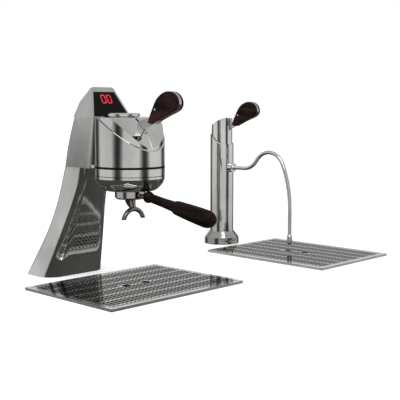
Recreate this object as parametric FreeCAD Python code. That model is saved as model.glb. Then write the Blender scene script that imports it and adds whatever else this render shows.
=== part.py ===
import FreeCAD, Part
import math
import os

from FreeCAD import Vector

# Modular worktop espresso machine: a lever brew tap, a lever steam tap and two drip trays.
# Millimetres. +X is the barista's right, -Y points at the barista, +Z is up.
# The origin is on the worktop, at the centre of the brew column's footprint.

# ---------------------------------------------------------------- driving dimensions
# Brew column sections: height, half width, front y, rear y, front corner radius.
COLUMN_SECTIONS = (
    (0, 90, -43, 48, 40),
    (60, 77.5, -62, 18, 34),
    (130, 63, -84, -14, 27),
    (200, 50, -105, -33, 20),
    (268, 46, -126, -53, 14),
)
# Neck sections where the column runs out into the head: height, half width,
# y where the flare starts, rear y, half width and y where the flare meets the head.
NECK_SECTIONS = (
    (268, 46, -138, -53, 60, -192),
    (325, 52, -156, -76, 60, -191),
    (386, 58, -178, -108, 60, -188),
)
COLUMN_WALL = 4
REAR_CORNER_R = 7

HEAD_Y = -238
HEAD_R = 80
HEAD_WALL = 3
HEAD_TOP_Z = 386
SEAL_Z = 272
SEAL_H = 5
SKIRT_BOTTOM_Z = 221
SKIRT_BOTTOM_R = 54
COVER_GAP = 0.8
COVER_WALL = 2.5

HOOD_TOP_Z = 455
HOOD_TOP_HALF = 35
DISPLAY_BOTTOM = (52.5, -177.5, 387.5)
DISPLAY_TOP = (30.9, -148.5, 444)
LENS_T = 2

CAP_R = 38.5
CAP_H = 9.5

PIN_R = 4
RUNNING_GAP = 0.05
CAM_R = 9
CAM_OFFSET = 4
CAM_GAP = 0.3
LEVER_TANG_T = 4.4
PADDLE_CORE_T = 7
SCALE_T = 7.5
VALVE_R = 15
WIRE_R = 0.6
COIL_R = 5.8
COILS = 4
STEM_ANGLE = 17.3          # rise of the stem at rest, degrees
RIVET_PLACE = (86, 45.6)   # forward and up from the pivot
SLOT_BACK = 4              # slot's rear end, ahead of the pivot, clear of the raised stem
SLOT_SIDE_GAP = 0.6
BREW_PIVOT = (0, -248, 358)

BAYONET_Z = 221
BAYONET_R = 51.5
PF_R = 35
PF_WALL = 3.5
PF_BOTTOM_Z = 201
PF_TOP_Z = 231
HANDLE_TILT = 10.3
HANDLE_START = (0, -290, 210.8)
SPOUT_HALF = 30
SPOUT_TUBE_R = 5.5
SPOUT_Y = -249
SPOUT_ARCH_Z = 148

STEAM_X = 609
STEAM_Y = 39
FLANGE_R = 52
FLANGE_H = 20
STEAM_TUBE_R = 35.5
STEAM_TUBE_WALL = 2.5
STEAM_TUBE_TOP = 300
SLEEVE_R = 31.5
SLEEVE_WALL = 2.2
SLEEVE_TOP_Z = 377.5
STEAM_PIVOT = (STEAM_X, 52.5, 340)
NOZZLE_Z = 230
BALL_R = 9
WAND_R = 5.5
STUB_R = 3.5

TRAY_LONG = 400
TRAY_SHORT = 304
TRAY_H = 6
TRAY_RIM = 11
TRAY_GAP = 1
GRID_T = 2
TRAY_1 = (0, -256)
TRAY_2 = (604, -250)
FINGER_HOLE_R = 10
FINGER_HOLE_HALF_PITCH = 30
DRAIN_R = 12


# ---------------------------------------------------------------- shape helpers
def box(x0, x1, y0, y1, z0, z1):
    return Part.makeBox(x1 - x0, y1 - y0, z1 - z0, Vector(x0, y0, z0))


def rod(radius, start, end):
    start = Vector(*start)
    span = Vector(*end) - start
    return Part.makeCylinder(radius, span.Length, start, span)


def upright(radius, centre, z0, z1):
    return rod(radius, (centre[0], centre[1], z0), (centre[0], centre[1], z1))


def pipe(outer_r, inner_r, centre, z0, z1):
    return upright(outer_r, centre, z0, z1).cut(upright(inner_r, centre, z0 - 1, z1 + 1))


def line(a, b):
    return Part.LineSegment(Vector(*a), Vector(*b)).toShape()


def arc(a, b, c):
    return Part.Arc(Vector(*a), Vector(*b), Vector(*c)).toShape()


def polygon(points):
    corners = [Vector(*p) for p in points]
    return Part.Face(Part.makePolygon(corners + corners[:1]))


def prism(points, span):
    return polygon(points).extrude(Vector(*span))


def spin(profile, centre):
    """Solid of revolution about an upright axis; profile is (radius, z) pairs."""
    face = polygon([(centre[0] + r, centre[1], z) for r, z in profile])
    return face.revolve(Vector(centre[0], centre[1], 0), Vector(0, 0, 1), 360)


def fuse(first, *others):
    return first.fuse(list(others)).removeSplitter()


def save(name, *solids):
    shape = solids[0] if len(solids) == 1 else Part.makeCompound(list(solids))
    shape.exportStep("parts/" + name + ".step")


def swept_tube(path, radius, start, direction):
    profile = Part.Wire(Part.makeCircle(radius, Vector(*start), Vector(*direction)))
    return Part.Wire(path).makePipeShell([profile], True, True)


# ---------------------------------------------------------------- brew column
def column_outline(section, inset=0):
    """Closed outline of the column: rounded front corners, small rear corners."""
    z, half, front, rear, corner = section
    half = half - inset
    front = front + inset
    rear = rear - inset
    corner = corner - inset
    small = REAR_CORNER_R - inset * 0.75
    bulge = 1 - math.sqrt(0.5)
    edges = [line((-half + corner, front, z), (half - corner, front, z))]
    edges.append(arc((half - corner, front, z),
                     (half - corner * bulge, front + corner * bulge, z),
                     (half, front + corner, z)))
    edges.append(line((half, front + corner, z), (half, rear - small, z)))
    edges.append(arc((half, rear - small, z),
                     (half - small * bulge, rear - small * bulge, z),
                     (half - small, rear, z)))
    edges.append(line((half - small, rear, z), (-half + small, rear, z)))
    edges.append(arc((-half + small, rear, z),
                     (-half + small * bulge, rear - small * bulge, z),
                     (-half, rear - small, z)))
    edges.append(line((-half, rear - small, z), (-half, front + corner, z)))
    edges.append(arc((-half, front + corner, z),
                     (-half + corner * bulge, front + corner * bulge, z),
                     (-half + corner, front, z)))
    return Part.Wire(edges)


def column_solid(inset=0):
    wires = [column_outline(s, inset) for s in COLUMN_SECTIONS]
    return Part.makeLoft(wires, True, False)


def neck_outline(section):
    """Outline of the neck: straight sides that flare out to the head's wall."""
    z, half, flare_y, rear, meet_x, meet_y = section
    small = REAR_CORNER_R
    bulge = 1 - math.sqrt(0.5)
    mid_x = half + (meet_x - half) * 0.28
    mid_y = flare_y + (meet_y - flare_y) * 0.55
    edges = [line((-meet_x, meet_y, z), (meet_x, meet_y, z))]
    edges.append(arc((meet_x, meet_y, z), (mid_x, mid_y, z), (half, flare_y, z)))
    edges.append(line((half, flare_y, z), (half, rear - small, z)))
    edges.append(arc((half, rear - small, z),
                     (half - small * bulge, rear - small * bulge, z),
                     (half - small, rear, z)))
    edges.append(line((half - small, rear, z), (-half + small, rear, z)))
    edges.append(arc((-half + small, rear, z),
                     (-half + small * bulge, rear - small * bulge, z),
                     (-half, rear - small, z)))
    edges.append(line((-half, rear - small, z), (-half, flare_y, z)))
    edges.append(arc((-half, flare_y, z), (-mid_x, mid_y, z), (-meet_x, meet_y, z)))
    return Part.Wire(edges)


def hood_solid():
    """Tapered hood above the head: its front leans back and carries the display."""
    z0 = HEAD_TOP_Z
    z1 = HOOD_TOP_Z
    half0 = NECK_SECTIONS[-1][1]
    half1 = HOOD_TOP_HALF
    round_r = 8
    front = [line((-half0, 0, z0), (half0, 0, z0)), line((half0, 0, z0), (half1, 0, z1 - round_r))]
    front.append(arc((half1, 0, z1 - round_r), (half1 - 2.6, 0, z1 - 2.2), (half1 - round_r, 0, z1)))
    front.append(line((half1 - round_r, 0, z1), (-half1 + round_r, 0, z1)))
    front.append(arc((-half1 + round_r, 0, z1), (-half1 + 2.6, 0, z1 - 2.2), (-half1, 0, z1 - round_r)))
    front.append(line((-half1, 0, z1 - round_r), (-half0, 0, z0)))
    slab = Part.Face(Part.Wire(front)).extrude(Vector(0, -200, 0))
    front_y = NECK_SECTIONS[-1][2]
    rear_y = NECK_SECTIONS[-1][3]
    lean = (DISPLAY_TOP[1] - DISPLAY_BOTTOM[1]) / (DISPLAY_TOP[2] - DISPLAY_BOTTOM[2])
    top_y = front_y + lean * (z1 - z0)
    side = [line((-90, front_y, z0), (-90, top_y, z1))]
    side.append(arc((-90, top_y, z1), (-90, top_y + 16, z1 - 20), (-90, rear_y - 7, z1 - 35)))
    side.append(line((-90, rear_y - 7, z1 - 35), (-90, rear_y, z0)))
    side.append(line((-90, rear_y, z0), (-90, front_y, z0)))
    wedge = Part.Face(Part.Wire(side)).extrude(Vector(180, 0, 0))
    return slab.common(wedge)


def lens_corners(grow=0):
    bx, by, bz = DISPLAY_BOTTOM
    tx, ty, tz = DISPLAY_TOP
    up = Vector(0, ty - by, tz - bz)
    up.normalize()
    low = Vector(0, by, bz) - up * grow
    high = Vector(0, ty, tz) + up * grow
    side = Vector(1, 0, 0)
    return [low - side * (bx + grow), low + side * (bx + grow),
            high + side * (tx + grow), high - side * (tx + grow)]


def display_normal():
    up = Vector(0, DISPLAY_TOP[1] - DISPLAY_BOTTOM[1], DISPLAY_TOP[2] - DISPLAY_BOTTOM[2])
    normal = Vector(1, 0, 0).cross(up)
    normal.normalize()
    return normal


def lens_plate(grow, outer, inner):
    """Trapezoid plate in the display's plane, from outer to inner depth behind the face."""
    normal = display_normal()
    corners = [c - normal * outer for c in lens_corners(grow)]
    face = Part.Face(Part.makePolygon(corners + corners[:1]))
    return face.extrude(normal * (outer - inner))


def rim_cutter(radius_y, drop_z, reach):
    """Everything above a curved slope that falls from the head's flat top to its front."""
    rear_t, mid_t, front_t = radius_y
    top, mid, low = drop_z
    y = HEAD_Y
    edges = [arc((-reach, y + rear_t, top), (-reach, y + mid_t, mid), (-reach, y + front_t, low))]
    edges.append(line((-reach, y + front_t, low), (-reach, y + front_t - 20, low - 18)))
    edges.append(line((-reach, y + front_t - 20, low - 18), (-reach, y + front_t - 20, top + 20)))
    edges.append(line((-reach, y + front_t - 20, top + 20), (-reach, y + rear_t, top + 20)))
    edges.append(line((-reach, y + rear_t, top + 20), (-reach, y + rear_t, top)))
    return Part.Face(Part.Wire(edges)).extrude(Vector(2 * reach, 0, 0))


def rear_panel(gap):
    """Block that marks the service cover's outline on the back of the column."""
    return box(-30 - gap, 30 + gap, -60, 60, 40 - gap, 150 + gap)


def rear_wall():
    """The rear wall of the column around the service cover, without the front wall."""
    return column_solid().cut(column_solid(COLUMN_WALL)).common(box(-200, 200, -40, 60, 30, 160))


COVER_SCREWS = ((-22, 52), (22, 52), (-22, 138), (22, 138))


def cover_screw_y(z):
    low = COLUMN_SECTIONS[1]
    high = COLUMN_SECTIONS[2]
    return low[3] + (high[3] - low[3]) * (z - low[0]) / (high[0] - low[0])


def make_column():
    seal_top = SEAL_Z + SEAL_H
    outer = column_solid()
    neck = Part.makeLoft([neck_outline(s) for s in NECK_SECTIONS], True, False)
    barrel = upright(HEAD_R, (0, HEAD_Y), seal_top, HEAD_TOP_Z)
    rim = rim_cutter((27, -28, -80), (HEAD_TOP_Z + 0.5, 355, 310.5), 95)
    body = outer.fuse([neck, barrel.cut(rim), hood_solid()])
    body = body.cut(upright(HEAD_R - HEAD_WALL, (0, HEAD_Y), SEAL_Z - 10, HEAD_TOP_Z))
    body = body.cut(pipe(HEAD_R + 20, HEAD_R - HEAD_WALL - 1, (0, HEAD_Y), 0, seal_top)
                    .common(box(-100, 100, HEAD_Y - 90, -140, 0, seal_top)))
    channel = box(-38, 38, -190, -116, seal_top + 3, 340)
    throat = Part.makeLoft([
        Part.makePolygon([Vector(x, y, 262) for x, y in
                          ((-38, -119), (38, -119), (38, -62), (-38, -62), (-38, -119))]),
        Part.makePolygon([Vector(x, y, 384) for x, y in
                          ((-48, -172), (48, -172), (48, -116), (-48, -116), (-48, -172))])], True, True)
    attic = Part.makeLoft([
        Part.makePolygon([Vector(x, y, 383) for x, y in
                          ((-46, -168), (46, -168), (46, -116), (-46, -116), (-46, -168))]),
        Part.makePolygon([Vector(x, y, 424) for x, y in
                          ((-32, -151), (32, -151), (32, -126), (-32, -126), (-32, -151))])], True, True)
    body = body.cut([column_solid(COLUMN_WALL), channel, throat, attic])
    body = body.cut(box(-100, 100, -100, 100, -5, 0))
    body = body.cut([lens_plate(0.15, 0, LENS_T), lens_plate(-7, LENS_T - 0.5, 14)])
    body = body.cut(rear_panel(0.3).common(rear_wall()))
    save("column_body", body)

    panel = rear_panel(0).common(rear_wall())
    screws = []
    for x, z in COVER_SCREWS:
        y = cover_screw_y(z)
        screws.append(rod(3, (x, y - 8, z), (x, y + 1, z)))
    save("rear_cover", panel.cut(screws))
    save("rear_cover_screws", *screws)

    low = COLUMN_SECTIONS[0]
    plate = box(-78, 78, -36, 40, 0, 8).common(column_solid(COLUMN_WALL + 0.5))
    bolt_holes = [upright(4.25, (x, y), -1, 9) for x in (-45, 45) for y in (-25, 30)]
    plate = plate.cut(bolt_holes + [upright(16, (0, low[3] - 26), -1, 9)])
    save("column_base_plate", plate)

    sections = []
    for z, y, half, depth in ((8, -14, 22, 14), (330, -118, 22, 13)):
        for_wall = []
        for inset in (0, 3):
            corners = ((-half + inset, y - depth + inset), (half - inset, y - depth + inset),
                       (half - inset, y + depth - inset), (-half + inset, y + depth - inset),
                       (-half + inset, y - depth + inset))
            for_wall.append(Part.makePolygon([Vector(cx, cy, z) for cx, cy in corners]))
        sections.append(for_wall)
    spine_outer = Part.makeLoft([s[0] for s in sections], True, True)
    spine = spine_outer.cut(Part.makeLoft([s[1] for s in sections], True, True))
    save("column_spine", spine)

    arm = box(-22, 22, HEAD_Y, -110, 282, 294).fuse(upright(43, (0, HEAD_Y), 282, 294))
    arm = arm.cut([spine_outer, upright(4, (0, BREW_PIVOT[1] + CAM_OFFSET), 280, 300)])
    save("head_arm", arm.removeSplitter())


# ---------------------------------------------------------------- display
def digit(x_centre):
    """A slanting 0 made of six separate bars, flush on the lens."""
    normal = display_normal()
    low, high = Vector(0, *DISPLAY_BOTTOM[1:]), Vector(0, *DISPLAY_TOP[1:])
    up = (high - low).normalize()
    centre = low + up * 44.8
    half_w, half_h, bar, gap = 5.5, 10, 2.6, 0.9
    spans = []
    for side in (-1, 1):
        spans.append((side * half_w, gap, side * half_w, half_h - gap, 0))
        spans.append((side * half_w, -half_h + gap, side * half_w, -gap, 0))
    for level in (-half_h, half_h):
        spans.append((-half_w + gap, level, half_w - gap, level, 1))
    bars = []
    for u0, v0, u1, v1, lying in spans:
        a = 0 if lying else bar / 2
        b = bar / 2 if lying else 0
        corners = [(u0 - a, v0 - b), (u1 + a, v0 - b), (u1 + a, v1 + b), (u0 - a, v1 + b)]
        points = [centre + Vector(x_centre + u, 0, 0) + up * v for u, v in corners]
        bars.append(Part.Face(Part.makePolygon(points + points[:1])).extrude(normal * 0.3))
    return bars


def make_display():
    save("display_lens", lens_plate(0, 0, LENS_T))
    save("display_board", lens_plate(-9, LENS_T + 0.5, LENS_T + 2.1))
    save("display_digits", *(digit(-8.5) + digit(8.5)))


# ---------------------------------------------------------------- head
def make_head():
    top = HEAD_TOP_Z - 0.2
    outer_r = HEAD_R - HEAD_WALL - COVER_GAP
    shell = upright(outer_r, (0, HEAD_Y), 300, top)
    shell = shell.cut(upright(outer_r - COVER_WALL, (0, HEAD_Y), 299, top - COVER_WALL))
    face = rim_cutter((-18, -45, -outer_r), (top, 363.5, 317.5), 95)
    inner = face.translated(Vector(0, 0, -COVER_WALL * 1.4))
    core = upright(outer_r, (0, HEAD_Y), 300, top).common(inner).cut(face)
    shell = shell.fuse(core).cut(face)
    slot_half = LEVER_TANG_T / 2 + SLOT_SIDE_GAP
    px, py, pz = BREW_PIVOT
    slot = box(-slot_half, slot_half, py - 40, py - SLOT_BACK, pz - 20, top + 5)
    hub_room = box(-17, 17, py - 22, py + 18, 299, pz + 15)
    pipe_notch = box(-40, 40, -200, -150, 299, 312)
    groove = box(-0.5, 0.5, HEAD_Y - 90, py - 50, 300, pz).common(face.translated(Vector(0, 0, -1)))
    screw_foot = Vector(0, py - 44, pz - 4)
    outward = Vector(0, -0.76, 0.65)
    screw = Part.makeCylinder(4.75, 3.5, screw_foot - outward * 2, outward)
    dome = [e for e in screw.Edges if e.BoundBox.ZMax > screw.BoundBox.ZMax - 0.1 and e.Length > 20]
    screw = screw.makeFillet(1.3, dome)
    shell = shell.cut([slot, hub_room, pipe_notch, groove, screw])
    save("head_cover", shell.removeSplitter())
    save("lever_stop_screw", screw)

    centre = (0, HEAD_Y + 21)
    z = HEAD_TOP_Z
    disc = spin(((0, z), (CAP_R - 3, z), (CAP_R, z + 3), (CAP_R, z + CAP_H - 2.5),
                 (CAP_R - 2.5, z + CAP_H), (0, z + CAP_H)), centre)
    save("head_cap", disc)
    rim_r = HEAD_R - 0.4
    save("seal_ring", pipe(rim_r, 70, (0, HEAD_Y), SEAL_Z, SEAL_Z + SEAL_H))

    z0 = SKIRT_BOTTOM_Z
    wall = HEAD_WALL
    y = HEAD_Y
    knee = z0 + 28
    outline = [line((0, y - HEAD_R, SEAL_Z), (0, y - HEAD_R, knee))]
    outline.append(arc((0, y - HEAD_R, knee), (0, y - 73.5, z0 + 14), (0, y - SKIRT_BOTTOM_R - 3, z0)))
    outline.append(line((0, y - SKIRT_BOTTOM_R - 3, z0), (0, y - BAYONET_R - 0.5, z0)))
    outline.append(line((0, y - BAYONET_R - 0.5, z0), (0, y - BAYONET_R - 0.5, z0 + wall)))
    outline.append(line((0, y - BAYONET_R - 0.5, z0 + wall), (0, y - SKIRT_BOTTOM_R, z0 + wall)))
    outline.append(arc((0, y - SKIRT_BOTTOM_R, z0 + wall), (0, y - 70, z0 + 16), (0, y - HEAD_R + wall, knee)))
    outline.append(line((0, y - HEAD_R + wall, knee), (0, y - HEAD_R + wall, SEAL_Z)))
    outline.append(line((0, y - HEAD_R + wall, SEAL_Z), (0, y - HEAD_R, SEAL_Z)))
    skirt = Part.Face(Part.Wire(outline)).revolve(Vector(0, y, 0), Vector(0, 0, 1), 360)
    groove = pipe(HEAD_R + 1, HEAD_R - 0.6, (0, HEAD_Y), 254.6, 255.4)
    save("head_skirt", skirt.cut(groove))


def make_group():
    c = (0, HEAD_Y)
    body = upright(44, c, 240, 282)
    heaters = [upright(4, (x, HEAD_Y + 14), 244, 281.5) for x in (-28, 28)]
    probe = upright(2, (0, HEAD_Y + 32), 250, 281.5)
    water = upright(4, (0, BREW_PIVOT[1] + CAM_OFFSET), 240, 283)
    room = [upright(4.1, (x, HEAD_Y + 14), 243.9, 283) for x in (-28, 28)]
    save("group_body", body.cut(room + [upright(2.1, (0, HEAD_Y + 32), 249.9, 283), water]))
    save("heater_cartridges", *heaters)
    save("temperature_probe", probe)

    block = upright(26.5, c, 233.6, 240).cut(upright(3, c, 233, 241))
    save("dispersion_block", block.cut([upright(1.5, (16 * math.cos(a), HEAD_Y + 16 * math.sin(a)), 233, 241)
                                        for a in (0.8, 2.4, 3.9, 5.5)]))
    screen = upright(27, c, 232.6, 233.6).cut(upright(3, c, 232, 234))
    save("shower_screen", screen)
    save("screen_screw", upright(3, c, 232.6, 240))
    save("group_gasket", pipe(36, 28, c, 232.5, 240))

    ring = pipe(BAYONET_R, PF_R + 0.4, c, BAYONET_Z, 240)
    ring = ring.cut([upright(41.5, c, 223.6, 229.4), upright(36.3, c, 229, 241)])
    entry = box(-41.5, 41.5, -16, 16, BAYONET_Z - 1, 224)
    entry.rotate(Vector(0, 0, 0), Vector(0, 0, 1), -45)
    entry.translate(Vector(0, HEAD_Y, 0))
    save("bayonet_ring", ring.cut(entry))

    px, py, pz = BREW_PIVOT
    riser = fuse(rod(4, (31, -4, 12), (31, -100, 262)), Part.makeSphere(4, Vector(31, -100, 262)),
                 rod(4, (31, -100, 262), (31, -136, 304)), Part.makeSphere(4, Vector(31, -136, 304)),
                 rod(4, (31, -136, 304), (31, py + 8, 304)), Part.makeSphere(4, Vector(31, py + 8, 304)),
                 rod(4, (31, py + 8, 304), (VALVE_R - 3, py, 304)))
    save("water_pipe", riser.cut(upright(VALVE_R, (0, py), 290, 324)))


# ---------------------------------------------------------------- lever and its valve


def lever_profile(points, thickness, pivot):
    """Plate in the lever's plane; points are (forward, up) from the pivot."""
    x, y, z = pivot
    corners = [(x - thickness / 2, y - forward, z + up) for forward, up in points]
    return prism(corners, (thickness, 0, 0))


def paddle(pivot, x0, x1):
    """The round paddle's outline, as a plate between two x positions."""
    outline = ((73, 13.5), (96, 23.5), (121, 33.5), (141, 41), (151.5, 48.5), (154.8, 60),
               (149.5, 73), (136, 82.5), (119, 84), (103, 78.5), (87.5, 66), (76.5, 48.5),
               (68, 33), (61.5, 17.5))
    x, y, z = pivot
    points = [Vector(x + x0, y - forward, z + up) for forward, up in outline]
    curve = Part.BSplineCurve()
    curve.interpolate(points)
    close = Part.LineSegment(points[-1], points[0]).toShape()
    return Part.Face(Part.Wire([curve.toShape(), close])).extrude(Vector(x1 - x0, 0, 0))


def along_stem(distance, offset):
    a = math.radians(STEM_ANGLE)
    return (distance * math.cos(a) - offset * math.sin(a), distance * math.sin(a) + offset * math.cos(a))


def make_lever(prefix, pivot):
    x, y, z = pivot
    stem_shape = ((0, 5), (12, 6), (22, 11.5), (34, 11.5), (64, 8.5), (72, 7),
                  (72, -7), (64, -8.5), (34, -11.5), (22, -11.5), (12, -6), (0, -5))
    stem = lever_profile([along_stem(d, o) for d, o in stem_shape], LEVER_TANG_T, pivot)
    core = paddle(pivot, -PADDLE_CORE_T / 2, PADDLE_CORE_T / 2)
    hub = rod(8.5, (x - 8, y, z), (x + 8, y, z))
    cam = rod(CAM_R, (x - 6, y + CAM_OFFSET, z), (x + 6, y + CAM_OFFSET, z))
    bore = rod(PIN_R + RUNNING_GAP, (x - 20, y, z), (x + 20, y, z))
    half = PADDLE_CORE_T / 2 + SCALE_T + 0.4
    forward, up = RIVET_PLACE
    rivet = rod(2.4, (x - half, y - forward, z + up), (x + half, y - forward, z + up))
    tang = stem.fuse([core, hub, cam]).cut([bore, rivet])
    save(prefix + "_lever_tang", tang.removeSplitter())
    scales = []
    for side in (-1, 1):
        inner = side * PADDLE_CORE_T / 2
        scale = paddle(pivot, min(inner, inner + side * SCALE_T), max(inner, inner + side * SCALE_T))
        face_x = x + inner + side * SCALE_T
        rim = [e for e in scale.Edges
               if all(abs(v.Point.x - face_x) < 0.01 for v in e.Vertexes) and e.Length > 60]
        scales.append(scale.makeFillet(3, rim).cut(rivet))
    save(prefix + "_lever_scales", *scales)
    save(prefix + "_lever_rivet", rivet)
    save(prefix + "_lever_pin", rod(PIN_R, (x - 15, y, z), (x + 15, y, z)))


def make_valve(prefix, pivot, chamber_bottom, yoke_r):
    """Yoke that holds the lever's pin, and the plunger, spring and valve body under its cam."""
    x, y, z = pivot
    cam_y = y + CAM_OFFSET
    plunger_top = z - CAM_R - CAM_GAP
    deck_top = z - 26
    deck_bottom = z - 38
    yoke = box(x - 15, x + 15, y - 11, y + 11, deck_bottom, z)
    yoke = yoke.fuse(rod(10, (x - 15, y, z), (x + 15, y, z)))
    yoke = yoke.cut(box(x - 9, x + 9, y - 20, y + 20, deck_top, z + 20))
    if yoke_r:
        yoke = yoke.fuse(upright(yoke_r, (x, STEAM_Y), deck_bottom, deck_bottom + 8))
    guide = upright(PIN_R + RUNNING_GAP, (x, cam_y), deck_bottom - 1, deck_top + 1)
    yoke = yoke.cut([guide, rod(PIN_R, (x - 20, y, z), (x + 20, y, z))])
    save(prefix + "_lever_yoke", yoke.removeSplitter())

    stem = upright(PIN_R, (x, cam_y), deck_bottom - 14, plunger_top - 3)
    save(prefix + "_valve_plunger", fuse(stem, upright(7.5, (x, cam_y), plunger_top - 3, plunger_top)))

    z0 = deck_top + WIRE_R + 0.1
    z1 = plunger_top - 3 - WIRE_R - 0.1
    steps = 40
    turn = 2 * math.pi * COILS / steps
    helix = Part.BSplineCurve()
    helix.interpolate([Vector(x + COIL_R * math.cos(i * turn), cam_y + COIL_R * math.sin(i * turn),
                              z0 + (z1 - z0) * i / steps) for i in range(steps + 1)])
    start = helix.FirstParameter
    profile = Part.Wire(Part.makeCircle(WIRE_R, helix.value(start), helix.tangent(start)[0]))
    save(prefix + "_valve_spring", Part.Wire(helix.toShape()).makePipeShell([profile], True, True))

    body = upright(VALVE_R, (x, y), chamber_bottom - 6, deck_bottom)
    body = body.cut(upright(7, (x, cam_y), chamber_bottom, deck_bottom + 1))
    save(prefix + "_valve_body", body.cut(upright(3, (x, cam_y), chamber_bottom - 7, chamber_bottom + 1)))


# ---------------------------------------------------------------- portafilter
def along_handle(distance):
    a = math.radians(HANDLE_TILT)
    x, y, z = HANDLE_START
    return (x, y - distance * math.cos(a), z - distance * math.sin(a))


def handle_turning(profile):
    """Turned piece on the handle's axis; profile is (distance along it, radius) pairs."""
    a = math.radians(HANDLE_TILT)
    origin = Vector(*HANDLE_START)
    outward = Vector(0, -math.cos(a), -math.sin(a))
    upward = Vector(0, -math.sin(a), math.cos(a))
    points = [origin + outward * d + upward * r for d, r in profile]
    curve_points = points + [origin + outward * profile[-1][0], origin + outward * profile[0][0]]
    face = Part.Face(Part.makePolygon(curve_points + curve_points[:1]))
    return face.revolve(origin, outward, 360)


def rounded(start, end, steps, shape):
    """Profile points (distance, radius) along a smooth stretch given by a formula."""
    return [(start + (end - start) * i / steps, shape(i / steps)) for i in range(steps + 1)]


def make_portafilter():
    c = (0, HEAD_Y)
    bowl = spin(((0, PF_BOTTOM_Z), (PF_R - 4, PF_BOTTOM_Z), (PF_R, PF_BOTTOM_Z + 4), (PF_R, PF_TOP_Z),
                 (PF_R - PF_WALL, PF_TOP_Z), (PF_R - PF_WALL, PF_BOTTOM_Z + 6), (0, PF_BOTTOM_Z + 4)), c)
    lug = box(-40.5, 40.5, -13, 13, 224, 229).common(upright(40.5, (0, 0), 220, 235))
    lug = lug.cut(upright(PF_R - 1, (0, 0), 220, 235))
    lug.translate(Vector(0, HEAD_Y, 0))
    arm = rod(5, (0, HEAD_Y - PF_R + 2, 209.5), (0, HANDLE_START[1] - 1, 210))
    arm = arm.cut(handle_turning([(0, 30), (60, 30)]))
    stud = rod(4, along_handle(-2), along_handle(110))
    bowl = bowl.fuse([lug, arm, stud]).cut(upright(6, c, PF_BOTTOM_Z - 1, PF_BOTTOM_Z + 8))
    save("portafilter_bowl", bowl.removeSplitter())

    rim = PF_TOP_Z + 1.2
    low = PF_BOTTOM_Z + 7
    wall_r = PF_R - 4.4
    floor_r = wall_r - 2.1
    lip_r = PF_R - 1
    basket = spin(((0, low), (floor_r, low), (wall_r, low + 2), (wall_r, PF_TOP_Z), (lip_r, PF_TOP_Z),
                   (lip_r, rim), (wall_r - 0.6, rim), (wall_r - 0.6, low + 2.5),
                   (floor_r - 0.5, low + 0.6), (0, low + 0.6)), c)
    save("filter_basket", basket)

    neck = Part.makeLoft([
        Part.Wire(Part.makeCircle(13, Vector(0, HEAD_Y, PF_BOTTOM_Z), Vector(0, 0, 1))),
        Part.Wire(Part.makeCircle(10.5, Vector(0, HEAD_Y - 3, PF_BOTTOM_Z - 12), Vector(0, 0, 1))),
        Part.Wire(Part.makeCircle(6, Vector(0, SPOUT_Y, SPOUT_ARCH_Z + SPOUT_HALF), Vector(0, 0, 1)))],
        True, False)
    tip_z = SPOUT_ARCH_Z + 7.5
    arch = Part.makeTorus(SPOUT_HALF, SPOUT_TUBE_R, Vector(0, SPOUT_Y, SPOUT_ARCH_Z), Vector(0, 1, 0))
    arch = arch.cut(box(-60, 60, SPOUT_Y - 20, SPOUT_Y + 20, SPOUT_ARCH_Z - 60, tip_z))
    spout = neck.fuse(arch)
    bores = [rod(3.2, (side * SPOUT_HALF, SPOUT_Y, tip_z - 3), (side * (SPOUT_HALF - 3), SPOUT_Y, tip_z + 9))
             for side in (-1, 1)]
    bores.append(upright(4, c, PF_BOTTOM_Z - 6, PF_BOTTOM_Z + 1))
    save("double_spout", spout.cut(bores).removeSplitter())

    half_turn = math.pi / 2
    collar = rounded(0, 20, 8, lambda t: 7 + 6.5 * math.sin(math.pi * (0.04 + 0.84 * t)))
    collar = handle_turning(collar + [(24, 9.6)])
    save("handle_collar", collar.cut(stud))
    neck_part = handle_turning([(24, 10), (60, 10.4), (92, 11.8), (94, 11)])
    save("handle_neck", neck_part.cut(stud))
    shoulder = rounded(94.5, 104, 4, lambda t: 11.5 + 4 * math.sin(t * half_turn))
    swell = rounded(106, 192, 8, lambda t: 15.8 + 3.4 * math.sin(t * half_turn))
    nose = [(192 + 24 * math.sin(i * half_turn / 8), 19.2 * math.cos(i * half_turn / 8))
            for i in range(1, 8)]
    grip = handle_turning(shoulder + swell + nose + [(216, 0.5)])
    save("handle_grip", grip.cut(stud))


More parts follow.
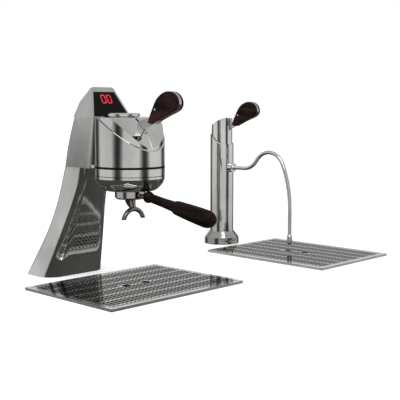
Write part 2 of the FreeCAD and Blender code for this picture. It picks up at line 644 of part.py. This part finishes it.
# ---------------------------------------------------------------- steam tap
def make_steam_tap():
    c = (STEAM_X, STEAM_Y)
    inner_r = STEAM_TUBE_R - STEAM_TUBE_WALL
    flange = spin(((inner_r, 0), (FLANGE_R - 1, 0), (FLANGE_R, 1), (FLANGE_R, FLANGE_H - 1),
                   (FLANGE_R - 1.5, FLANGE_H), (STEAM_TUBE_R + 2, FLANGE_H + 17),
                   (STEAM_TUBE_R + 0.1, FLANGE_H + 17), (STEAM_TUBE_R + 0.1, 8), (inner_r, 8)), c)
    floor = upright(inner_r, c, 0, 8)
    holes = [upright(3.3, (STEAM_X + 22 * math.cos(a), STEAM_Y + 22 * math.sin(a)), -1, 9)
             for a in (math.radians(45 + 90 * i) for i in range(4))]
    save("steam_flange", fuse(flange, floor).cut(holes + [upright(10, c, -1, 9)]))

    top = STEAM_TUBE_TOP
    tube = pipe(STEAM_TUBE_R, inner_r, c, 8, top + 30)
    y = STEAM_Y
    cut = [line((STEAM_X - 50, y - 50, top), (STEAM_X - 50, y - 21, top))]
    cut.append(arc((STEAM_X - 50, y - 21, top), (STEAM_X - 50, y - 6, top + 9.5), (STEAM_X - 50, y + 14, top + 30)))
    cut.append(line((STEAM_X - 50, y + 14, top + 30), (STEAM_X - 50, y - 50, top + 30)))
    cut.append(line((STEAM_X - 50, y - 50, top + 30), (STEAM_X - 50, y - 50, top)))
    tube = tube.cut(Part.Face(Part.Wire(cut)).extrude(Vector(100, 0, 0)))
    nozzle_hole = rod(6, (STEAM_X, y, NOZZLE_Z), (STEAM_X, y - 50, NOZZLE_Z))
    save("steam_tube", tube.cut(nozzle_hole))

    sleeve = upright(SLEEVE_R, c, 250, 380).cut(upright(SLEEVE_R - SLEEVE_WALL, c, 249, 380))
    lid = upright(SLEEVE_R, c, 250, 380)
    x0 = STEAM_X - 50
    z = SLEEVE_TOP_Z
    slope = [line((x0, y - 40, z), (x0, y - 26, z))]
    slope.append(arc((x0, y - 26, z), (x0, y - 8, z - 9.5), (x0, y + 36, z - 31)))
    slope.append(line((x0, y + 36, z - 31), (x0, y + 36, z + 20)))
    slope.append(line((x0, y + 36, z + 20), (x0, y - 40, z + 20)))
    slope.append(line((x0, y - 40, z + 20), (x0, y - 40, z)))
    above = Part.Face(Part.Wire(slope)).extrude(Vector(100, 0, 0))
    lid = lid.cut(above).common(above.translated(Vector(0, 0, -3)))
    px, py, pz = STEAM_PIVOT
    slot_half = LEVER_TANG_T / 2 + SLOT_SIDE_GAP
    slot = box(px - slot_half, px + slot_half, y - 50, py - SLOT_BACK, pz + 1, 390)
    save("steam_sleeve", sleeve.cut(above).fuse(lid).cut(slot).removeSplitter())

    feed = upright(4, (STEAM_X, py + CAM_OFFSET), 8.2, pz - 38 - 36)
    elbow = fuse(rod(4, (STEAM_X, y - STEAM_TUBE_R + 6, NOZZLE_Z), (STEAM_X, py - 21, NOZZLE_Z)),
                 Part.makeSphere(4, Vector(STEAM_X, py - 21, NOZZLE_Z)),
                 rod(4, (STEAM_X, py - 21, NOZZLE_Z), (STEAM_X, py - 21, pz - 50)),
                 Part.makeSphere(4, Vector(STEAM_X, py - 21, pz - 50)),
                 rod(4, (STEAM_X, py - 21, pz - 50), (STEAM_X, py, pz - 50)))
    save("steam_pipes", feed, elbow.cut(upright(VALVE_R, (STEAM_X, py), 200, 330)))


def steam_wand_path(start_y):
    """Centre line: level out of the swivel, up and over a tall bend, then straight down."""
    edges = []
    forward = -start_y
    up = NOZZLE_Z
    heading = 0.0

    def place(f, u):
        return (STEAM_X, -f, u)

    # A bend of 0 degrees is a straight run of that length; else angle and radius.
    for angle, size in ((0, 33.5), (50, 55), (0, 14), (-50, 55), (-65, 54), (-25, 299), (0, 72)):
        h = math.radians(heading)
        if angle == 0:
            f1 = forward + size * math.cos(h)
            u1 = up + size * math.sin(h)
            edges.append(line(place(forward, up), place(f1, u1)))
        else:
            side = math.copysign(size, angle)
            centre_f = forward - side * math.sin(h)
            centre_u = up + side * math.cos(h)
            half_h = math.radians(heading + angle / 2)
            end_h = math.radians(heading + angle)
            mid = (centre_f + side * math.sin(half_h), centre_u - side * math.cos(half_h))
            f1 = centre_f + side * math.sin(end_h)
            u1 = centre_u - side * math.cos(end_h)
            edges.append(arc(place(forward, up), place(*mid), place(f1, u1)))
            heading = heading + angle
        forward = f1
        up = u1
    return edges, (-forward, up)


def make_wand():
    y = STEAM_Y - STEAM_TUBE_R
    ball_y = y - 9
    z = NOZZLE_Z
    x = STEAM_X
    nut = rod(14, (x, y + 2, z), (x, ball_y - 4, z))
    saddle = upright(STEAM_TUBE_R, (x, STEAM_Y), z - 30, z + 30)
    room = [Part.makeSphere(BALL_R + 0.05, Vector(x, ball_y, z)), rod(4, (x, y + 10, z), (x, ball_y, z)),
            Part.makeCone(BALL_R - 2.2, 13, 12, Vector(x, ball_y - 1.5, z), Vector(0, -1, 0))]
    save("wand_nut", nut.cut([saddle] + room))
    stub_end = ball_y - 26
    ball = fuse(Part.makeSphere(BALL_R, Vector(x, ball_y, z)), rod(STUB_R, (x, ball_y, z), (x, stub_end, z)))
    save("wand_ball", ball.cut(rod(1.5, (x, ball_y + 12, z), (x, stub_end - 1, z))))

    start_y = ball_y - 13
    path, end = steam_wand_path(start_y)
    tube = swept_tube(path, WAND_R, (x, start_y, z), (0, -1, 0))
    save("steam_wand", tube.cut(swept_tube(path, STUB_R + RUNNING_GAP, (x, start_y, z), (0, -1, 0))))
    end_y, end_z = end
    tip = spin(((0, 23), (5, 23), (8, 27), (8, 46), (WAND_R, end_z), (0, end_z)), (x, end_y))
    holes = [upright(0.8, (x + dx, end_y + dy), 22, 30) for dx, dy in ((3, 0), (-3, 0), (0, 3), (0, -3))]
    save("wand_tip", tip.cut(holes))


# ---------------------------------------------------------------- drip trays
def make_tray(name, centre, turned):
    long_half = TRAY_LONG / 2
    short_half = TRAY_SHORT / 2

    def slab(inset, z0, z1):
        return box(-long_half + inset, long_half - inset, -short_half + inset, short_half - inset, z0, z1)

    def round_edges(shape, radius):
        return shape.makeFillet(radius, [e for e in shape.Edges
                                         if abs(e.Vertexes[0].Z - e.Vertexes[-1].Z) > 0.5])

    ledge_z = TRAY_H - GRID_T
    pan = round_edges(slab(0, 0, TRAY_H), 3)
    pan = pan.cut([slab(TRAY_RIM, ledge_z, TRAY_H + 1), slab(TRAY_RIM + 4, 1.2, TRAY_H + 1)])
    drain = (-long_half + 60, 0)
    pan = pan.cut(upright(DRAIN_R, drain, -1, 2))
    strainer = upright(DRAIN_R + 6, drain, 1.2, 2)
    strainer = strainer.cut([upright(1.6, (drain[0] + 6 * i, drain[1] + 6 * j), 0, 3)
                             for i in (-1, 0, 1) for j in (-1, 0, 1)])

    grid = slab(TRAY_RIM + TRAY_GAP, ledge_z + 0.02, TRAY_H)
    slots = []
    for i in range(-3, 5):
        for j in range(-6, 7):
            slot_x = (i - 0.5) * 45.6
            slot_y = j * 20
            near_hole = abs(abs(slot_x) - FINGER_HOLE_HALF_PITCH) < 38 and abs(slot_y) < 15
            if not near_hole:
                slots.append(box(slot_x - 19, slot_x + 19, slot_y - 3, slot_y + 3, 0, 10))
    holes = [upright(FINGER_HOLE_R, (x, 0), 0, 10) for x in (-FINGER_HOLE_HALF_PITCH, FINGER_HOLE_HALF_PITCH)]
    grid = grid.cut(slots + holes)
    for shape in (pan, grid, strainer):
        if turned:
            shape.rotate(Vector(0, 0, 0), Vector(0, 0, 1), 90)
        shape.translate(Vector(centre[0], centre[1], 0))
    save(name + "_pan", pan)
    save(name + "_grid", grid)
    return strainer


# ---------------------------------------------------------------- build
os.makedirs("parts", exist_ok=True)
make_column()
make_display()
make_head()
make_group()
make_lever("brew", BREW_PIVOT)
make_valve("brew", BREW_PIVOT, 300, 0)
make_portafilter()
make_steam_tap()
make_lever("steam", STEAM_PIVOT)
make_valve("steam", STEAM_PIVOT, STEAM_PIVOT[2] - 68, SLEEVE_R - SLEEVE_WALL - 0.1)
make_wand()
strainers = [make_tray("tray_1", TRAY_1, False), make_tray("tray_2", TRAY_2, True)]
save("tray_strainers", *strainers)
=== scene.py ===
import math

import bmesh
import bpy
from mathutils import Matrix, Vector


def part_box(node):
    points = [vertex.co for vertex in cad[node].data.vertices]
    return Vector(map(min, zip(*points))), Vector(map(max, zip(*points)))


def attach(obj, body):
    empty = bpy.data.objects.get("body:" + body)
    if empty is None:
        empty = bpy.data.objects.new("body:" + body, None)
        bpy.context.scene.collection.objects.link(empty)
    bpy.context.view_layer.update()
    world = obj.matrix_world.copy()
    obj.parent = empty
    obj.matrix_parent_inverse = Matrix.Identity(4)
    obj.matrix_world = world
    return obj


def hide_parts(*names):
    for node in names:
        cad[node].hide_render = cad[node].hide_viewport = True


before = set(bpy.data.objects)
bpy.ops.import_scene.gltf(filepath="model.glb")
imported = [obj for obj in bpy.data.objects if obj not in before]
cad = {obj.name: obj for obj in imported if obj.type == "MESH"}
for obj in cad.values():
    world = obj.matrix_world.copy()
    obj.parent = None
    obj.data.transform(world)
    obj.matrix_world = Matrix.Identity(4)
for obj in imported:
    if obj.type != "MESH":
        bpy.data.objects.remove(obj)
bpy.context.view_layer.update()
bpy.ops.object.select_all(action="DESELECT")


# ---------------------------------------------------------------- polished shell
# The column, head, skirt and both steam tubes are stainless steel sheet and tube, ground and
# then buffed almost to a mirror. Faint polishing lines and smudges break up the reflections.
class Value:
    """One output of a shader node, which takes part in Python arithmetic."""

    def __init__(self, maker, socket):
        self.maker = maker
        self.socket = socket

    def maths(self, operation, a, b=0.0):
        return self.maker.node("ShaderNodeMath", {"operation": operation}, {0: a, 1: b})

    def __add__(self, other):
        return self.maths("ADD", self, other)

    def __radd__(self, other):
        return self.maths("ADD", other, self)

    def __sub__(self, other):
        return self.maths("SUBTRACT", self, other)

    def __rsub__(self, other):
        return self.maths("SUBTRACT", other, self)

    def __mul__(self, other):
        return self.maths("MULTIPLY", self, other)

    def __rmul__(self, other):
        return self.maths("MULTIPLY", other, self)

    def __lt__(self, other):
        return self.maths("LESS_THAN", self, other)

    def __abs__(self):
        return self.maths("ABSOLUTE", self)


class Maker:
    """Adds nodes to one shader tree."""

    def __init__(self, tree):
        self.tree = tree

    def node(self, kind, settings=None, inputs=None, out=0):
        made = self.tree.nodes.new(kind)
        for name, setting in (settings or {}).items():
            setattr(made, name, setting)
        for name, value in (inputs or {}).items():
            if isinstance(value, Value):
                self.tree.links.new(value.socket, made.inputs[name])
            else:
                made.inputs[name].default_value = value
        return Value(self, made.outputs[out])


class Finish(Maker):
    """One material: a Principled surface and the nodes that feed it."""

    def __init__(self, name, **plain):
        self.material = bpy.data.materials.new(name)
        self.material.use_nodes = True
        super().__init__(self.material.node_tree)
        self.surface = self.tree.nodes["Principled BSDF"]
        self.set(**plain)

    def set(self, **values):
        for key, value in values.items():
            socket = self.surface.inputs[key.replace("_", " ")]
            if isinstance(value, Value):
                self.tree.links.new(value.socket, socket)
            else:
                socket.default_value = value

    def place(self, scale=(1, 1, 1)):
        here = self.node("ShaderNodeTexCoord", out="Object")
        return self.node("ShaderNodeMapping", inputs={"Vector": here, "Scale": scale})

    def noise(self, scale, stretch=(1, 1, 1), detail=3.0):
        return self.node("ShaderNodeTexNoise",
                         inputs={"Vector": self.place(stretch), "Scale": scale, "Detail": detail})

    def blend(self, factor, low, high):
        return self.node("ShaderNodeMix", {"data_type": "RGBA"}, {0: factor, 6: low, 7: high}, out=2)

    def bump(self, height, strength, distance):
        return self.node("ShaderNodeBump", inputs={"Height": height, "Strength": strength,
                                                   "Distance": distance})

    def wear(self, *pieces):
        for piece in pieces:
            piece.data.materials.clear()
            piece.data.materials.append(self.material)


def steel(name, dark, light, shine, spread, lines, waves=1.0):
    """Stainless steel: colour range, lowest roughness, its spread, polishing lines and waviness."""
    made = Finish(name, Metallic=1.0)
    smudge = made.noise(14.0)
    cloud = made.node("ShaderNodeMapRange", None, {"Value": made.noise(7.0, (1.0, 1.0, 0.45), 4.0),
                                                   "From Min": 0.38, "From Max": 0.62})
    fine = made.noise(60.0, (1.0, 1.0, 0.06), 5.0)
    made.set(Base_Color=made.blend(cloud * 0.6 + smudge * 0.4, (*dark, 1), (*light, 1)),
             Roughness=shine + smudge * fine * spread,
             Normal=made.bump(fine * lines + cloud * waves, 0.6, 0.0012))
    return made


buffed = steel("buffed_steel", (0.52, 0.52, 0.51), (0.84, 0.84, 0.83), 0.04, 0.10, 0.05)
buffed.wear(cad["head_cover"], cad["steam_tube"], cad["steam_sleeve"])
skirt_steel = steel("skirt_steel", (0.52, 0.52, 0.51), (0.84, 0.84, 0.83), 0.04, 0.10, 0.05)
skirt_height = Value(skirt_steel, skirt_steel.node("ShaderNodeSeparateXYZ", inputs={
    0: skirt_steel.node("ShaderNodeTexCoord", out="Object")}).socket.node.outputs["Z"])
GROOVE_HEIGHT, GROOVE_HALF = 0.255, 0.0008
# Painted shade: a thin dark grey band painted round the skirt at the groove's height stands in for the
# groove's shadow.
painted_groove_shade = abs(skirt_height - GROOVE_HEIGHT) < GROOVE_HALF
plain_skirt = Value(skirt_steel, skirt_steel.surface.inputs["Base Color"].links[0].from_socket)
skirt_steel.set(Base_Color=skirt_steel.blend(painted_groove_shade, plain_skirt, (0.10, 0.10, 0.10, 1)))
skirt_steel.wear(cad["head_skirt"])



# The column's larger sheet is buffed by hand, so its tone wanders a little more than the drum's.
column_sheet = steel("column_steel", (0.44, 0.44, 0.435), (0.84, 0.84, 0.83), 0.05, 0.12, 0.04, 0.4)
column_sheet.wear(cad["column_body"], cad["rear_cover"])


# ---------------------------------------------------------------- satin turned parts
# The cap on the head and the steam tap's flange are turned from solid bar and left with a fine
# satin skin, a little duller than the sheet work around them.
satin = steel("satin_steel", (0.62, 0.62, 0.61), (0.76, 0.76, 0.75), 0.13, 0.16, 0.08)
satin.wear(cad["head_cap"])
flange_steel = steel("flange_steel", (0.34, 0.34, 0.33), (0.66, 0.66, 0.65), 0.06, 0.12, 0.05)
flange_steel.wear(cad["steam_flange"])


# ---------------------------------------------------------------- screws and hidden steelwork
# Screws, pins, yokes, spine, arm and base plate are plain machined steel, bolted or pressed in.
machined = steel("machined_steel", (0.42, 0.42, 0.42), (0.56, 0.56, 0.55), 0.24, 0.2, 0.2)
machined.wear(*[cad[n] for n in (
    "rear_cover_screws", "screen_screw", "lever_stop_screw", "column_base_plate", "column_spine",
    "head_arm", "brew_lever_pin", "steam_lever_pin", "brew_lever_yoke", "steam_lever_yoke",
    "heater_cartridges", "temperature_probe", "brew_valve_plunger", "steam_valve_plunger",
    "brew_valve_spring", "steam_valve_spring", "shower_screen", "filter_basket", "tray_strainers")])


# ---------------------------------------------------------------- seal and gasket
# A moulded black ring closes the joint between head and skirt; the group gasket is softer rubber.
moulded = Finish("moulded_rubber", Roughness=0.55)
grainy = moulded.noise(220.0)
moulded.set(Base_Color=moulded.blend(grainy, (0.0015, 0.0015, 0.0015, 1), (0.005, 0.005, 0.005, 1)),
            Roughness=0.45 + grainy * 0.2, Normal=moulded.bump(grainy, 0.15, 0.0002))
moulded.surface.inputs["Specular IOR Level"].default_value = 0.12
moulded.wear(cad["seal_ring"], cad["group_gasket"])


# ---------------------------------------------------------------- display
# A smoked lens lies flush in the hood, with a small board behind it and red lit bars on its face.
smoked = Finish("smoked_lens", IOR=1.46)
haze = smoked.noise(40.0)
smoked.set(Base_Color=smoked.blend(haze, (0.002, 0.002, 0.002, 1), (0.004, 0.004, 0.004, 1)),
           Roughness=0.30 + haze * 0.12)
smoked.surface.inputs["Specular IOR Level"].default_value = 0.10
smoked.wear(cad["display_lens"])

lit = Finish("lit_digits", Roughness=0.5, Emission_Strength=1.0)
flicker = lit.node("ShaderNodeMapRange", None, {"Value": lit.noise(520.0, detail=1.0), "From Min": 0.42,
                                                "From Max": 0.56})
lit.set(Base_Color=lit.blend(flicker, (0.35, 0.01, 0.02, 1), (0.5, 0.015, 0.03, 1)),
        Emission_Color=lit.blend(flicker, (0.12, 0.001, 0.004, 1), (0.80, 0.010, 0.035, 1)))
lit.wear(cad["display_digits"])

laminate = Finish("board_laminate", Roughness=0.5)
tracks = laminate.noise(150.0)
laminate.set(Base_Color=laminate.blend(tracks, (0.02, 0.12, 0.05, 1), (0.04, 0.2, 0.09, 1)))
laminate.wear(cad["display_board"])


# ---------------------------------------------------------------- brass and copper inside
# The group body, dispersion block and valve bodies are machined brass; pipes are drawn copper.
cast = Finish("machined_brass", Metallic=1.0)
tone = cast.noise(30.0)
cast.set(Base_Color=cast.blend(tone, (0.55, 0.40, 0.17, 1), (0.75, 0.58, 0.28, 1)),
         Roughness=0.22 + tone * 0.15)
cast.wear(*[cad[n] for n in ("group_body", "dispersion_block", "brew_valve_body",
                             "steam_valve_body")])
drawn = Finish("drawn_copper", Metallic=1.0)
tone = drawn.noise(25.0)
drawn.set(Base_Color=drawn.blend(tone, (0.48, 0.20, 0.11, 1), (0.72, 0.36, 0.22, 1)),
          Roughness=0.2 + tone * 0.2)
drawn.wear(cad["water_pipe"], cad["steam_pipes"])


# ---------------------------------------------------------------- levers
# Each lever is one steel plate whose round end is clad on both sides with very dark wood,
# held by a steel rivet. The plate's edge shows as a bright band between the two scales.
brushed = steel("brushed_lever", (0.46, 0.46, 0.45), (0.66, 0.66, 0.65), 0.20, 0.18, 0.25)
brushed.wear(*[cad[n] for n in ("brew_lever_tang", "steam_lever_tang", "brew_lever_rivet",
                                "steam_lever_rivet")])


def dark_wood(name, stretch, low, high):
    """Oiled, nearly black wood with reddish grain lines along one direction."""
    made = Finish(name, Coat_Weight=0.05, Coat_Roughness=0.06)
    wander = made.noise(22.0, detail=2.0)
    pores = made.noise(160.0, stretch, 6.0)
    grain = made.noise(70.0, stretch, 4.0)
    streak = made.node("ShaderNodeMapRange", None,
                       {"Value": grain + wander * 0.3, "From Min": 0.52, "From Max": 0.82})
    made.set(Base_Color=made.blend(streak, (*low, 1), (*high, 1)),
             Roughness=0.34 + pores * 0.25,
             Normal=made.bump(pores, 0.25, 0.0005))
    made.surface.inputs["Specular IOR Level"].default_value = 0.05
    return made


scale_wood = dark_wood("scale_wood", (1.0, 0.16, 1.0), (0.0035, 0.002, 0.002), (0.030, 0.012, 0.010))
scale_wood.wear(cad["brew_lever_scales"], cad["steam_lever_scales"])


# ---------------------------------------------------------------- portafilter
# The bowl and spout are chromed brass. The handle is turned in three pieces from the same dark
# wood as the levers: a bead, a slim neck and a thick rounded grip.
handle_wood = dark_wood("handle_wood", (1.0, 0.10, 1.0), (0.0035, 0.002, 0.0018), (0.014, 0.006, 0.005))
handle_wood.wear(cad["handle_collar"], cad["handle_neck"], cad["handle_grip"])

plated = steel("plated_brass", (0.44, 0.42, 0.40), (0.66, 0.64, 0.62), 0.04, 0.10, 0.03)
plated.wear(cad["portafilter_bowl"], cad["bayonet_ring"])
spout_plate = steel("spout_plating", (0.11, 0.09, 0.08), (0.44, 0.39, 0.36), 0.05, 0.10, 0.03)
spout_plate.wear(cad["double_spout"])


# ---------------------------------------------------------------- steam wand
# A bent stainless tube, polished, with a turned tip and a ball held by a knurled nut.
tube_steel = steel("tube_steel", (0.62, 0.62, 0.61), (0.78, 0.78, 0.77), 0.07, 0.12, 0.04)
tube_steel.wear(*[cad[n] for n in ("steam_wand", "wand_tip", "wand_ball", "wand_nut")])


# ---------------------------------------------------------------- drip tray pans
# Each pan is pressed from bright sheet with a flat polished rim and a step inside for the grid.
def pan_finish(name, node):
    """Bright rim, with the floor inside the step that the grid rests on coloured near-black as painted
    shade.
    """
    made = steel(name, (0.60, 0.60, 0.59), (0.80, 0.80, 0.79), 0.06, 0.12, 0.04)
    low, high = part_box(node)
    here = made.node("ShaderNodeTexCoord", out="Object")
    parts = made.node("ShaderNodeSeparateXYZ", inputs={0: here}).socket.node.outputs
    x, y, z = (Value(made, s) for s in parts)
    inside_x = abs(x - (high.x + low.x) / 2) < (high.x - low.x) / 2 - 0.0108
    inside_y = abs(y - (high.y + low.y) / 2) < (high.y - low.y) / 2 - 0.0108
    # Painted shade: the pan's floor under the grid is coloured near-black and made rougher, standing in
    # for the grid's shadow.
    under_grid_shade = inside_x * inside_y
    bright = Value(made, made.surface.inputs["Base Color"].links[0].from_socket)
    rough = Value(made, made.surface.inputs["Roughness"].links[0].from_socket)
    made.set(Base_Color=made.blend(under_grid_shade, bright, (0.02, 0.02, 0.02, 1)),
             Roughness=rough + under_grid_shade * 0.5)
    made.wear(cad[node])


pan_finish("tray_1_pan_steel", "tray_1_pan")
pan_finish("tray_2_pan_steel", "tray_2_pan")


# ---------------------------------------------------------------- drip tray grids
# Each grid is a bright sheet punched all over: three rows of wide holes, then a row of narrow
# ones that leaves a bright dashed line, and so on across the tray. Two finger holes lift it.
# Between the dash rows the sheet is coloured darker; its underside and hole walls are painted shade.
def grid_finish(name, node, across_axis):
    made = steel(name, (0.74, 0.74, 0.73), (0.90, 0.90, 0.89), 0.05, 0.10, 0.03, 0.3)
    low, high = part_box(node)
    here = made.node("ShaderNodeTexCoord", out="Object")
    split = made.node("ShaderNodeSeparateXYZ", inputs={0: here}).socket.node.outputs
    across = Value(made, split[across_axis]) - (low[across_axis] + high[across_axis]) / 2
    to_row = made.node("ShaderNodeMath", {"operation": "PINGPONG"}, {0: across, 1: 2 * PITCH_ACROSS})
    plain = made.node("ShaderNodeMath", {"operation": "GREATER_THAN"}, {0: to_row, 1: 0.0021})
    # Painted shade: the underside and lower hole walls are coloured near-black and made rougher, for
    # the shadow under the sheet.
    painted_underside_shade = Value(made, split["Z"]) < high.z - 0.0002
    bright = Value(made, made.surface.inputs["Base Color"].links[0].from_socket)
    rough = Value(made, made.surface.inputs["Roughness"].links[0].from_socket)
    duller = made.blend(plain, bright, (0.27, 0.27, 0.265, 1))
    made.set(Base_Color=made.blend(painted_underside_shade, duller, (0.03, 0.03, 0.03, 1)),
             Roughness=rough + painted_underside_shade * 0.5)
    return made


HOLES_LONG, HOLES_ACROSS = 32, 25
PITCH_LONG, PITCH_ACROSS = 0.01145, 0.0110
SHEET_LONG, SHEET_ACROSS = 0.376, 0.280
WIDE_LONG, WIDE_ACROSS = 0.0088, 0.0082
NARROW_LONG, NARROW_ACROSS = 0.0054, 0.0050


def edge_lines(count, pitch, overall, width_of):
    """Places of the lines along one side: the sheet's edge, then both sides of each hole."""
    lines = [-overall / 2]
    for i in range(count):
        middle = (i - (count - 1) / 2) * pitch
        lines.append(middle - width_of(i) / 2)
        lines.append(middle + width_of(i) / 2)
    lines.append(overall / 2)
    return lines


def is_dash_row(row):
    return row % 4 == 0


def punched_grid(name, node, body, turned):
    low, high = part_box(node)
    centre = (low + high) / 2
    bpy.ops.mesh.primitive_grid_add(x_subdivisions=2 * HOLES_LONG + 1,
                                    y_subdivisions=2 * HOLES_ACROSS + 1, size=1)
    grid = bpy.context.object
    grid.name = name
    columns = 2 * HOLES_LONG + 2
    across = edge_lines(HOLES_ACROSS, PITCH_ACROSS, SHEET_ACROSS,
                        lambda i: NARROW_ACROSS if is_dash_row(i) else WIDE_ACROSS)
    wide = edge_lines(HOLES_LONG, PITCH_LONG, SHEET_LONG, lambda i: WIDE_LONG)
    narrow = edge_lines(HOLES_LONG, PITCH_LONG, SHEET_LONG, lambda i: NARROW_LONG)
    for vertex in grid.data.vertices:
        row, column = divmod(vertex.index, columns)
        hole_row = (row - 1) // 2
        along = narrow if 0 < row <= 2 * HOLES_ACROSS and is_dash_row(hole_row) else wide
        vertex.co = (along[column], across[row], high.z)
    bpy.ops.object.mode_set(mode="EDIT")
    bpy.ops.mesh.select_all(action="DESELECT")
    bpy.ops.mesh.select_mode(type="FACE")
    sheet = bmesh.from_edit_mesh(grid.data)
    sheet.faces.ensure_lookup_table()
    for face in sheet.faces:
        row, column = divmod(face.index, columns - 1)
        middle = face.calc_center_median()
        by_fingers = abs(abs(middle.x) - 0.030) < 0.011 and abs(middle.y) < 0.011
        face.select_set(row % 2 == 1 and column % 2 == 1 and not by_fingers)
    bmesh.update_edit_mesh(grid.data)
    bpy.ops.mesh.delete(type="FACE")
    bpy.ops.object.mode_set(mode="OBJECT")
    thick = grid.modifiers.new("thickness", "SOLIDIFY")
    thick.thickness = 0.0012
    thick.offset = -1
    bpy.ops.object.modifier_apply(modifier=thick.name)
    for side in (-1, 1):
        bpy.ops.object.select_all(action="DESELECT")
        bpy.ops.mesh.primitive_cylinder_add(vertices=48, radius=0.010, depth=0.02,
                                            location=(side * 0.030, 0, high.z))
        punch = bpy.context.object
        bpy.context.view_layer.objects.active = grid
        cut = grid.modifiers.new("finger_hole", "BOOLEAN")
        cut.object = punch
        cut.solver = "EXACT"
        bpy.ops.object.modifier_apply(modifier=cut.name)
        bpy.data.objects.remove(punch)
    quarter = math.radians(90 if turned else 0)
    for vertex in grid.data.vertices:
        x, y, z = vertex.co
        vertex.co = (x * math.cos(quarter) - y * math.sin(quarter) + centre.x,
                     x * math.sin(quarter) + y * math.cos(quarter) + centre.y, z)
    grid_finish(name, node, 0 if turned else 1).wear(grid)
    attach(grid, body)
    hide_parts(node)


punched_grid("tray_1_punched_grid", "tray_1_grid", "grid_1", False)
punched_grid("tray_2_punched_grid", "tray_2_grid", "grid_2", True)


# ---------------------------------------------------------------- studio
# A plain pale floor in a plain soft room. Four evenly spaced soft dark flags stand around it, a
# dark bench lies below and the ceiling is softer, so that polished steel has something to mirror.
bpy.ops.object.select_all(action="DESELECT")
bpy.ops.mesh.primitive_plane_add(size=40, location=(0.3, 0, -0.0005))
floor = bpy.context.object
floor.name = "studio_floor"
pale = Finish("pale_floor", Roughness=0.9, Emission_Color=(1, 1, 1, 1), Emission_Strength=0.28)
mottle = pale.noise(3.0)
pale.set(Base_Color=pale.blend(mottle, (0.86, 0.86, 0.86, 1), (0.88, 0.88, 0.88, 1)))
pale.wear(floor)
floor.visible_glossy = False

room = bpy.data.worlds.new("studio_room")
bpy.context.scene.world = room
room.use_nodes = True
walls = Maker(room.node_tree)
background = room.node_tree.nodes["Background"]
look = walls.node("ShaderNodeTexCoord", out="Generated")
split = walls.node("ShaderNodeSeparateXYZ", inputs={0: look})
east, north, height = (Value(walls, s) for s in split.socket.node.outputs)
bearing = walls.node("ShaderNodeMath", {"operation": "ARCTAN2"}, {0: north, 1: east})
FLAGS, PALE_BEARING = 4.0, math.radians(53)
flags = walls.node("ShaderNodeMath", {"operation": "COSINE"}, {0: (bearing - PALE_BEARING) * FLAGS})


def fade(value, start, end):
    return walls.node("ShaderNodeMapRange", None, {"Value": value, "From Min": start, "From Max": end})


def mixed(factor, low, high):
    return walls.node("ShaderNodeMix", {"data_type": "RGBA"}, {0: factor, 6: low, 7: high}, out=2)


wall_colour = mixed(fade(flags, -0.95, -0.10), (0.045, 0.045, 0.044, 1), (0.74, 0.74, 0.73, 1))
bench = mixed(fade(height, -0.10, -0.26), wall_colour, (0.075, 0.073, 0.070, 1))
mirrored = mixed(fade(height, 0.25, 0.6), bench, (0.56, 0.56, 0.56, 1))
path = walls.node("ShaderNodeLightPath")
ray = {s.name: Value(walls, s) for s in path.socket.node.outputs}
soft = mixed(ray["Is Glossy Ray"], (0.95, 0.95, 0.95, 1), mirrored)
seen = mixed(ray["Is Camera Ray"], soft, (1, 1, 1, 1))
room.node_tree.links.new(seen.socket, background.inputs["Color"])

key = bpy.data.lights.new("soft_key", "AREA")
key.energy = 18
key.size = 1.6
key_light = bpy.data.objects.new("soft_key", key)
key_light.location = (-0.6, -1.2, 1.9)
aim = Vector((0.2, -0.1, 0.2)) - key_light.location
key_light.rotation_euler = aim.to_track_quat("-Z", "Y").to_euler()
bpy.context.scene.collection.objects.link(key_light)

view = bpy.data.cameras.new("camera")
view.lens = 76.11
view.sensor_width = 36
camera = bpy.data.objects.new("camera", view)
camera.location = (-1.26696, -1.69028, 0.40757)
camera.rotation_euler = (math.radians(83.769), 0, math.radians(-45.85))
bpy.context.scene.collection.objects.link(camera)
bpy.context.scene.camera = camera
bpy.context.scene.view_settings.view_transform = "Standard"
